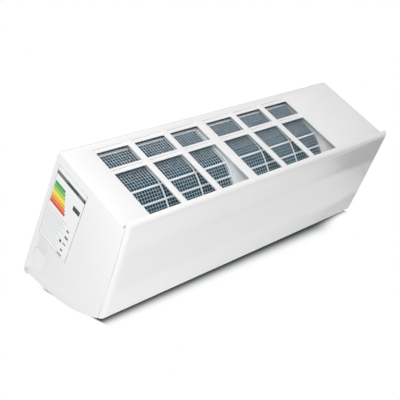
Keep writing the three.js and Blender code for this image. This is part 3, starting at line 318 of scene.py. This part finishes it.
def moulded_copy(name, piece_name, edge_mm, segments=2):
    """A copy of a CAD node with its flat faces whole; edge_mm rounds its sharp edges."""
    piece = bpy.data.objects.new(piece_name, nodes[name].data.copy())
    scene.collection.objects.link(piece)
    piece.data.materials.clear()
    only(piece)
    bpy.ops.object.mode_set(mode="EDIT")
    bpy.ops.mesh.select_all(action="SELECT")
    bpy.ops.mesh.remove_doubles(threshold=1e-6)
    bpy.ops.mesh.dissolve_limited(angle_limit=math.radians(0.5))
    bpy.ops.object.mode_set(mode="OBJECT")
    if edge_mm:
        bevel = piece.modifiers.new("rounded_edges", "BEVEL")
        bevel.width = edge_mm / 1000
        bevel.segments = segments
        bevel.limit_method = "ANGLE"
        bevel.angle_limit = math.radians(35)
        bevel.use_clamp_overlap = True
        bpy.ops.object.modifier_apply(modifier=bevel.name)
    bpy.ops.object.shade_smooth_by_angle(angle=math.radians(30))
    return piece


def dress(piece, material, body, slot, *replaced):
    """Gives a piece its material and body, and hides the nodes that it stands for. Its slot is not
    used.
    """
    piece.data.materials.clear()
    piece.data.materials.append(material)
    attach(piece, body)
    if replaced:
        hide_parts(*replaced)
    return piece


inner_abs = surface("off_white_abs_grained", "#d9dddd", "#d2d7d8", 0.5, 60, 0.9, 0.03)
dress(moulded_copy("rear_chassis", "chassis_moulding", 0), inner_abs, "unit", "inner_plastic",
      "rear_chassis")


# The pipes: soft drawn copper from the coil's end down behind the motor, then along the
# channel to brass flare nuts. Handling leaves the copper bright with darker patches.
drawn_copper = surface("drawn_copper", "#c27b52", "#a5603c", 0.3, 14, 2.5, 0.02,
                       metallic=1.0, spread=0.16)
turned_brass = surface("turned_brass", "#c9a657", "#b8923f", 0.28, 10, 1.2, 0.01, metallic=1.0)
black_nylon = surface("black_nylon", "#2b2d2f", "#222426", 0.5, 20, 0.8, 0.02)


origin_height = 160


def bent_tube(name, corners_mm, radius_mm, bend_mm):
    """A round tube through [x, depth, height] corners, each bent to one radius.

    Heights count from the unit's foot, and the frame's origin lies at origin_height.
    """
    points = [Vector((x, -depth, height - origin_height)) / 1000
              for x, depth, height in corners_mm]
    bpy.ops.curve.primitive_bezier_curve_add()
    tube = bpy.context.object
    tube.name = name
    spline = tube.data.splines[0]
    stations = [points[0]]
    for before, corner, after in zip(points, points[1:], points[2:]):
        start = corner + (before - corner).normalized() * bend_mm / 1000
        end = corner + (after - corner).normalized() * bend_mm / 1000
        for step in range(7):
            t = step / 6
            stations.append(start * (1 - t) ** 2 + corner * 2 * t * (1 - t) + end * t ** 2)
    stations.append(points[-1])
    spline.type = "POLY"
    spline.points.add(len(stations) - len(spline.points))
    for point, station in zip(spline.points, stations):
        point.co = (*station, 1)
    tube.data.dimensions = "3D"
    tube.data.bevel_depth = radius_mm / 1000
    tube.data.bevel_resolution = 5
    tube.data.use_fill_caps = True
    tube.location = (0, 0, 0)
    only(tube)
    bpy.ops.object.convert(target="MESH")
    bpy.ops.object.shade_smooth_by_angle(angle=math.radians(40))
    return bpy.context.object


suction_route = [
    (182.8, 45.8, 172), (208.4, 45.8, 172), (208.4, 26, 127), (208.4, 26, 57), (-40, 26, 57)]
liquid_route = [
    (182.8, 51, 181.7), (218.4, 51, 181.7), (218.4, 26, 121.7), (218.4, 26, 32), (-20, 26, 32)]
dress(bent_tube("suction_tube", suction_route, 4.7, 13), drawn_copper, "unit", "copper",
      "suction_pipe")
dress(bent_tube("liquid_tube", liquid_route, 3.15, 10), drawn_copper, "unit", "copper",
      "liquid_pipe")
for nut in ("suction_flare_nut", "liquid_flare_nut"):
    dress(moulded_copy(nut, nut.replace("flare_nut", "nut"), 0.6), turned_brass, "unit", "brass",
          nut)
dress(moulded_copy("pipe_clamp", "pipe_saddle", 0.8), black_nylon, "unit", "dark_plastic",
      "pipe_clamp")


# The coil: copper tubes through hundreds of thin aluminium fins with a blue-green hydrophilic
# coating, folded over the fan in three slabs. The fins are drawn 3 mm apart in place of the
# real 1.3 mm, so that their lines still show through the filters.
fin_coating = surface("coated_aluminium_fins", "#1f6a82", "#175a72", 0.5, 12, 2.0, 0.02,
                      metallic=0.15, spread=0.12)
fin_pitch = 3.0
fin_thickness = 0.6
fin_ripple = 0.35
first_fin = 0.6
fin_end_room = 1.5
coil_span = (-286.2, 180.4)
slab_lines = {
    "rear_coil": ((88, 250), (42, 165)),
    "upper_front_coil": ((109, 248), (159, 199.6)),
    "lower_front_coil": ((168, 192.6), (170, 122)),
}
slab_half = 12.5
tube_radius = 3.5
tube_pitch = 21
tube_row_offset = 6.3
tube_end_room = 4
first_tubes = ((-1, 5.0), (1, 15.5))


def fin_stack(name, top, foot):
    """One slab's fins: a fin with a pressed ripple, repeated across the coil's width."""
    (d0, z0), (d1, z1) = top, foot
    along = Vector((0, d0 - d1, z1 - z0)).normalized()
    across = Vector((0, -along.z, along.y))
    length = math.hypot(d1 - d0, z1 - z0)
    middle = Vector((0, -(d0 + d1) / 2, (z0 + z1) / 2 - origin_height))
    bpy.ops.object.select_all(action="DESELECT")
    bpy.ops.mesh.primitive_plane_add(size=1)
    fin = bpy.context.object
    fin.name = name
    bpy.ops.object.mode_set(mode="EDIT")
    bpy.ops.mesh.subdivide(number_cuts=3)
    bpy.ops.object.mode_set(mode="OBJECT")
    for vertex in fin.data.vertices:
        u, v = vertex.co.x, vertex.co.y
        ripple = fin_ripple if round(v * 4) % 2 else -fin_ripple
        place = middle + along * (u * length) + across * (v * 2 * slab_half)
        vertex.co = (place + Vector((coil_span[0] + first_fin + ripple, 0, 0))) / 1000
    only(fin)
    wall = fin.modifiers.new("gauge", "SOLIDIFY")
    wall.thickness = fin_thickness / 1000
    wall.offset = 1
    row = fin.modifiers.new("stack", "ARRAY")
    row.use_relative_offset = False
    row.use_constant_offset = True
    row.constant_offset_displace = (fin_pitch / 1000, 0, 0)
    row.count = int((coil_span[1] - coil_span[0] - fin_end_room) / fin_pitch)
    for modifier in ("gauge", "stack"):
        bpy.ops.object.modifier_apply(modifier=modifier)
    return fin


def slab_tubes(name, top, foot):
    """The slab's copper tubes, in two staggered rows."""
    (d0, z0), (d1, z1) = top, foot
    along = Vector((0, d0 - d1, z1 - z0)).normalized()
    across = Vector((0, -along.z, along.y))
    length = math.hypot(d1 - d0, z1 - z0)
    parts = []
    for row, first_tube in first_tubes:
        position = first_tube
        while position < length - tube_end_room:
            start = Vector((0, -d0, z0 - origin_height))
            middle = (start + along * position + across * row * tube_row_offset) / 1000
            bpy.ops.mesh.primitive_cylinder_add(
                vertices=12, radius=tube_radius / 1000,
                depth=(coil_span[1] - coil_span[0] - 1) / 1000,
                location=(sum(coil_span) / 2000, middle.y, middle.z), rotation=(0, math.pi / 2, 0))
            parts.append(bpy.context.object)
            position += tube_pitch
    bpy.ops.object.select_all(action="DESELECT")
    for part in parts:
        part.select_set(True)
    bpy.context.view_layer.objects.active = parts[0]
    bpy.ops.object.join()
    bpy.ops.object.transform_apply()
    bpy.ops.object.shade_smooth_by_angle(angle=math.radians(40))
    parts[0].name = name
    return parts[0]


for slab_name, (slab_top, slab_foot) in slab_lines.items():
    fins = fin_stack(slab_name.replace("coil", "fins"), slab_top, slab_foot)
    dress(fins, fin_coating, "unit", "fin", slab_name)
    tubes = slab_tubes(slab_name.replace("coil", "tubes"), slab_top, slab_foot)
    dress(tubes, drawn_copper, "unit", "copper")
for side in ("left", "right"):
    dress(moulded_copy(f"coil_end_{side}", f"{side}_coil_end_bends", 0), drawn_copper, "unit",
          "copper", f"coil_end_{side}")


# The cross-flow fan: one long glass-filled nylon rotor of welded segments, on a steel stub at
# the left and on the motor's shaft at the right.
fan_depth, fan_height, fan_radius = 98, 112, 44
rotor_span = (-288.2, 189.4)
rotor_segments = 9
blade_count = 35
blade_chord = 10.5
blade_curl = math.radians(15)
blade_gauge = 0.9
disc_gauge = 2.2
end_disc_bore = 4.6
ring_bore = 29


def fan_blades():
    """One curved blade with its wall, spun round the axle; it runs the rotor's length."""
    bpy.ops.object.select_all(action="DESELECT")
    bpy.ops.mesh.primitive_plane_add(size=1)
    blade = bpy.context.object
    blade.name = "fan_blades"
    bpy.ops.object.mode_set(mode="EDIT")
    bpy.ops.mesh.subdivide(number_cuts=3)
    bpy.ops.object.mode_set(mode="OBJECT")
    width = rotor_span[1] - rotor_span[0] - 1
    for vertex in blade.data.vertices:
        along, rise = vertex.co.x, vertex.co.y + 0.5
        radius = fan_radius - 1 - blade_chord * (1 - rise)
        turn = blade_curl * (1 - rise) ** 2
        vertex.co = Vector((along * width, radius * math.cos(turn), radius * math.sin(turn))) / 1000
    only(blade)
    wall = blade.modifiers.new("gauge", "SOLIDIFY")
    wall.thickness = blade_gauge / 1000
    wall.offset = 0
    bpy.ops.object.modifier_apply(modifier="gauge")
    bpy.ops.object.mode_set(mode="EDIT")
    bpy.ops.mesh.select_all(action="SELECT")
    bpy.ops.mesh.spin(steps=blade_count, dupli=True, angle=math.tau, center=(0, 0, 0),
                      axis=(1, 0, 0))
    bpy.ops.mesh.select_all(action="SELECT")
    bpy.ops.mesh.remove_doubles(threshold=1e-7)
    bpy.ops.mesh.normals_make_consistent(inside=False)
    bpy.ops.object.mode_set(mode="OBJECT")
    middle = sum(rotor_span) / 2
    blade.location = Vector((middle, -fan_depth, fan_height - origin_height)) / 1000
    bpy.ops.object.transform_apply()
    bpy.ops.object.shade_smooth_by_angle(angle=math.radians(30))
    return blade


def fan_disc(number, x):
    """A welded ring between two segments; the end ones close in round the shaft."""
    inner = end_disc_bore if number in (0, rotor_segments) else ring_bore
    bpy.ops.mesh.primitive_circle_add(vertices=64, radius=fan_radius / 1000, location=(0, 0, 0))
    disc = bpy.context.object
    disc.name = f"fan_disc_{number + 1}"
    bpy.ops.object.mode_set(mode="EDIT")
    bpy.ops.mesh.select_all(action="SELECT")
    bpy.ops.mesh.extrude_edges_move()
    bpy.ops.transform.resize(value=(inner / fan_radius,) * 3, center_override=(0, 0, 0))
    bpy.ops.mesh.select_all(action="SELECT")
    bpy.ops.transform.rotate(value=math.pi / 2, orient_axis="Y", center_override=(0, 0, 0))
    bpy.ops.mesh.normals_make_consistent(inside=False)
    bpy.ops.object.mode_set(mode="OBJECT")
    wall = disc.modifiers.new("gauge", "SOLIDIFY")
    wall.thickness = disc_gauge / 1000
    wall.offset = 0
    rim = disc.modifiers.new("rim", "BEVEL")
    rim.width = 0.0005
    rim.segments = 2
    for modifier in ("gauge", "rim"):
        bpy.ops.object.modifier_apply(modifier=modifier)
    disc.location = Vector((x, -fan_depth, fan_height - origin_height)) / 1000
    bpy.ops.object.transform_apply()
    bpy.ops.object.shade_smooth_by_angle(angle=math.radians(30))
    return disc


dress(fan_blades(), black_nylon, "fan", "dark_plastic", "fan_rotor")
disc_run = rotor_span[1] - rotor_span[0] - disc_gauge
for number in range(rotor_segments + 1):
    disc_x = rotor_span[0] + disc_gauge / 2 + disc_run * number / rotor_segments
    dress(fan_disc(number, disc_x), black_nylon, "fan", "dark_plastic")
zinc_plated_steel = surface("zinc_plated_steel", "#b9bcbe", "#a9adb0", 0.3, 10, 1.5, 0.01,
                            metallic=1.0)
black_rubber = surface("black_rubber", "#1f2021", "#191a1b", 0.75, 15, 0.7, 0.03)
finish_nodes(zinc_plated_steel, "fan_axle", "motor_shaft")
dress(moulded_copy("bearing_bush", "rubber_bearing", 0.6), black_rubber, "unit", "rubber",
      "bearing_bush")


# The fan motor: a resin-cast body under a black nylon clamp. It sits in two ribs of the
# chassis at the right of the fan.
cast_resin = surface("cast_motor_resin", "#8f9496", "#85898b", 0.5, 18, 1.0, 0.05)
dress(moulded_copy("fan_motor", "motor_body", 2.5, 3), cast_resin, "unit", "motor_metal",
      "fan_motor")
dress(moulded_copy("motor_clamp", "motor_strap", 0.5), black_nylon, "unit", "dark_plastic",
      "motor_clamp")


# The drain pan: a trough under the front coil, in the same off-white ABS, with a hose spigot
# at its right end and a rubber stopper at its left.
dress(moulded_copy("drain_pan", "pan_moulding", 0), inner_abs, "unit", "inner_plastic",
      "drain_pan")
dress(moulded_copy("drain_spigot", "hose_spigot", 0), inner_abs, "unit", "inner_plastic",
      "drain_spigot")
dress(moulded_copy("drain_plug", "drain_stopper", 0.5), black_rubber, "unit", "rubber",
      "drain_plug")


# The vanes: ten thin upright blades in two groups, each group turned together by a flat link.
# Off-white ABS with softly rounded edges.
for number in range(1, 11):
    vane = f"vane_{number}"
    dress(moulded_copy(vane, f"guide_{vane}", 0.3, 1), inner_abs, vane, "inner_plastic", vane)
for side in ("left", "right"):
    dress(moulded_copy(f"{side}_vane_link", f"{side}_link_bar", 0.3, 1), inner_abs, f"{side}_link",
          "inner_plastic", f"{side}_vane_link")


# The louvre: a long curved flap that closes the outlet and carries on the underside's curve.
# Gloss white ABS, like the front panel, with a small stepper motor in a plated can beside it.
gloss_abs = surface("gloss_white_abs", "#f2f2f2", "#efefef", 0.2, 120, 7, 0.012, spread=0.04)
dress(moulded_copy("louvre", "louvre_flap", 0.5), gloss_abs, "louvre", "panel_plastic", "louvre")
dress(moulded_copy("louvre_motor", "louvre_stepper", 0.8), zinc_plated_steel, "unit",
      "motor_metal", "louvre_motor")


# The electrics: a flame-resistant black box with its cover, the control board on four posts,
# the terminal block and the cable's rubber grommet.
green_laminate = surface("green_board_laminate", "#1f6b41", "#185936", 0.35, 6, 0.8, 0.02)
for part, piece_name in (
        ("electrical_box", "wiring_case"), ("electrical_box_cover", "wiring_case_cover"),
        ("terminal_block", "terminals")):
    dress(moulded_copy(part, piece_name, 0.5, 1), black_nylon, "unit", "dark_plastic", part)
dress(moulded_copy("circuit_board", "control_board", 0), green_laminate, "unit", "board",
      "circuit_board")
dress(moulded_copy("cable_grommet", "cable_bushing", 0.4), black_rubber, "unit", "rubber",
      "cable_grommet")


# The air filters: white polypropylene frames with a fine woven net, bent over the coil from the
# grille down to the front opening. The net's 1 mm mesh is drawn at 5.7 mm so that it shows.
filter_plastic = surface("white_polypropylene", "#f3f7f9", "#eaf0f3", 0.4, 40, 1.0, 0.02)
net_fibre = surface("net_fibre", "#3a86a8", "#f6fcff", 0.4, 6, 1.0, 0.01)
filter_line = [
    (22, 278), (65.3, 278), (106.1, 277.2), (121.1, 271.1), (135, 262), (152, 249), (167.8, 233.9),
    (179.9, 215.9), (185.8, 196.1), (187.7, 170), (189.5, 124),
]
mesh_pitch = 5.7
strand = 1.4
filter_gauge = 1.6
filter_rim = 5
filter_rib = 3
filter_spans = {"left": (-296.2, -52.9), "right": (-45.9, 203.4)}
rib_shares = (0.167, 0.331, 0.425, 0.582, 0.745, 0.873)
post_shares = (1 / 3, 2 / 3)


def along_line(points, distance):
    """The [depth, height] point at a distance along a line of points."""
    for (a, b), (c, d) in zip(points, points[1:]):
        length = math.hypot(c - a, d - b)
        if distance <= length:
            return a + (c - a) * distance / length, b + (d - b) * distance / length
        distance -= length
    return points[-1]


def sheet_lines(length, shares):
    """The mesh's lines along a length, and the numbers of the strips that are frame."""
    middles = [share * length for share in shares]
    rib_edges = [middle + side * filter_rib / 2 for middle in middles for side in (-1, 1)]
    edges = [0, filter_rim, *rib_edges, length - filter_rim, length]
    lines, solid = [], set()
    for number, (start, end) in enumerate(zip(edges, edges[1:])):
        strips = 1 if number % 2 == 0 else round((end - start) / mesh_pitch)
        if number % 2 == 0:
            solid.add(len(lines))
        lines += [start + (end - start) * i / strips for i in range(strips)]
    return lines + [length], solid


def filter_piece(side, kind):
    """The frame or the net of one filter, cut from one sheet bent along the filter's line."""
    x0, x1 = filter_spans[side]
    run = sum(math.hypot(c - a, d - b) for (a, b), (c, d) in zip(filter_line, filter_line[1:]))
    across, posts = sheet_lines(x1 - x0, post_shares)
    along, ribs = sheet_lines(run, rib_shares)
    columns, rows = len(across) - 1, len(along) - 1
    bpy.ops.object.select_all(action="DESELECT")
    bpy.ops.mesh.primitive_grid_add(size=1, x_subdivisions=columns, y_subdivisions=rows)
    sheet = bpy.context.object
    sheet.name = f"{side}_filter_{kind}"
    for vertex in sheet.data.vertices:
        column, row = round((vertex.co.x + 0.5) * columns), round((vertex.co.y + 0.5) * rows)
        depth, height = along_line(filter_line, along[row])
        vertex.co = Vector((x0 + across[column], -depth, height - origin_height)) / 1000
    mesh = bmesh.new()
    mesh.from_mesh(sheet.data)
    mesh.faces.ensure_lookup_table()
    spare = [face for number, face in enumerate(mesh.faces)
             if (number // columns in ribs or number % columns in posts) != (kind == "frame")]
    bmesh.ops.delete(mesh, geom=spare, context="FACES")
    bmesh.ops.recalc_face_normals(mesh, faces=mesh.faces[:])
    mesh.to_mesh(sheet.data)
    mesh.free()
    only(sheet)
    if kind == "frame":
        wall = sheet.modifiers.new("gauge", "SOLIDIFY")
        wall.thickness = filter_gauge / 1000
        wall.offset = 0
        wall.use_even_offset = True
    else:
        wall = sheet.modifiers.new("strands", "WIREFRAME")
        wall.thickness = strand / 1000
        wall.use_even_offset = False
        wall.use_replace = True
    bpy.ops.object.modifier_apply(modifier=wall.name)
    return sheet


for side in ("left", "right"):
    dress(filter_piece(side, "frame"), filter_plastic, "unit", "filter_plastic",
          f"{side}_air_filter")
    dress(filter_piece(side, "net"), net_fibre, "unit", "filter_plastic")


# The front casing: the large satin white moulding with the open grille in its top. Its edges
# are rounded by the tool, and its ends carry thin knock-out plates for the pipes. Three plated
# screws under the front panel fix it to the drain pan.
satin_abs = surface("satin_white_abs", "#f2f2f2", "#efefef", 0.32, 90, 1.2, 0.01, spread=0.05)
dress(moulded_copy("front_casing", "casing_moulding", 0.5, 2), satin_abs, "unit",
      "casing_plastic", "front_casing")
for side in ("left", "right"):
    dress(moulded_copy(f"pipe_knockout_{side}", f"{side}_knockout", 0.2, 1), satin_abs, "unit",
          "casing_plastic", f"pipe_knockout_{side}")
for place in ("left", "centre", "right"):
    dress(moulded_copy(f"casing_screw_{place}", f"{place}_screw", 0.4), zinc_plated_steel, "unit",
          "steel", f"casing_screw_{place}")


# The receiver: a small board in a black nylon case, with its infrared eye behind a smoked
# window, and the test button's cap, all reached with the front panel up.
smoked_acrylic = surface("smoked_acrylic", "#1c1e22", "#17191c", 0.08, 30, 3, 0.002)
dress(moulded_copy("receiver_module", "receiver_board_case", 0.4, 1), black_nylon, "unit",
      "dark_plastic", "receiver_module")
dress(moulded_copy("receiver_lens", "receiver_window", 0.3), smoked_acrylic, "unit",
      "smoked_window", "receiver_lens")
dress(moulded_copy("test_button", "button_cap", 0.4), inner_abs, "test_button",
      "inner_plastic", "test_button")


# The energy label: a coated paper sheet on the left end with a stepped scale of coloured bars.
# All of its print is generic bars, blocks and rules, laid on the sheet as flat ink.
label_paper = surface("coated_label_paper", "#f5f6f6", "#f1f2f3", 0.45, 30, 1.0, 0.004)
dress(moulded_copy("energy_label", "label_sheet", 0), label_paper, "unit", "label", "energy_label")
label_x = -345.64
label_top = 271.4
label_rear = 11.2
ink_shades = {
    "ink": "#33383c", "header": "#6d7276", "pale": "#aab2b8", "grass": "#2f9a48", "leaf": "#63b44a",
    "lime": "#b2cf3e", "yellow": "#f2e43a", "amber": "#f0b032", "orange": "#e57a2c",
    "red": "#d93a2f",
}
inks = {name: surface(f"label_{name}_ink", code, code, 0.5, 20, 1.0, 0.002)
        for name, code in ink_shades.items()}


def label_mark(name, ink, down, along, height, width):
    """A printed block; down and along are its corner's distances from the label's top rear."""
    bpy.ops.object.select_all(action="DESELECT")
    y = -(label_rear + along + width / 2) / 1000
    z = (label_top - down - height / 2 - origin_height) / 1000
    bpy.ops.mesh.primitive_plane_add(size=1, location=(0, 0, 0))
    mark = bpy.context.object
    mark.name = name
    bpy.ops.object.mode_set(mode="EDIT")
    bpy.ops.mesh.select_all(action="SELECT")
    bpy.ops.transform.rotate(value=math.pi / 2, orient_axis="Y", center_override=(0, 0, 0))
    bpy.ops.transform.resize(value=(1, width / 1000, height / 1000), center_override=(0, 0, 0))
    bpy.ops.transform.translate(value=(label_x / 1000, y, z))
    bpy.ops.object.mode_set(mode="OBJECT")
    mark.data.materials.append(inks[ink])
    return mark


bar_colours = ("grass", "leaf", "lime", "yellow", "amber", "orange", "red")
pale_rules = ((88, 52), (94, 46), (99, 50), (104, 44), (110, 52), (116, 40), (122, 46), (128, 38),
              (135, 50), (142, 44), (149, 48))
marks = [
    # The header strip
    ("header", 11.5, 0.8, 7.5, 27.7), ("ink", 11.5, 28.5, 7.5, 32),
    ("header", 11.5, 60.5, 7.5, 13.5), ("ink", 11.5, 74, 7.5, 4.8),
    # The scale's bars, each longer than the one above, and the block that points at them
    *((colour, 33 + 6.7 * step, 3, 6.3, 28 + 2.3 * step)
      for step, colour in enumerate(bar_colours)),
    ("ink", 41, 57, 9.5, 18),
    # The rules and the small blocks below the scale
    *(("pale", down, 4, 0.9, width) for down, width in pale_rules),
    ("header", 95, 60, 4.5, 6), ("header", 109, 60, 5, 9), ("ink", 125, 51, 6, 5),
    ("header", 125, 60, 3, 8), ("ink", 141, 59, 3.5, 6), ("header", 153, 54, 3, 12),
    # The outline
    ("pale", 0.6, 0.6, 0.7, 78.4), ("pale", 157.9, 0.6, 0.7, 78.4), ("pale", 0.6, 0.6, 158, 0.7),
    ("header", 0.6, 78.3, 158, 0.7),
]
printed = [label_mark(f"mark_{i}", *mark) for i, mark in enumerate(marks)]
bpy.ops.object.select_all(action="DESELECT")
for mark in printed:
    mark.select_set(True)
bpy.context.view_layer.objects.active = printed[0]
bpy.ops.object.join()
printed[0].name = "label_print"
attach(printed[0], "unit")


# The front panel: a tray-shaped gloss white moulding that hangs from pins under its top lip
# and covers the whole front. Its face bows gently and its corners are softly rounded.
dress(moulded_copy("front_panel", "panel_moulding", 0.6, 3), gloss_abs, "panel",
      "panel_plastic", "front_panel")
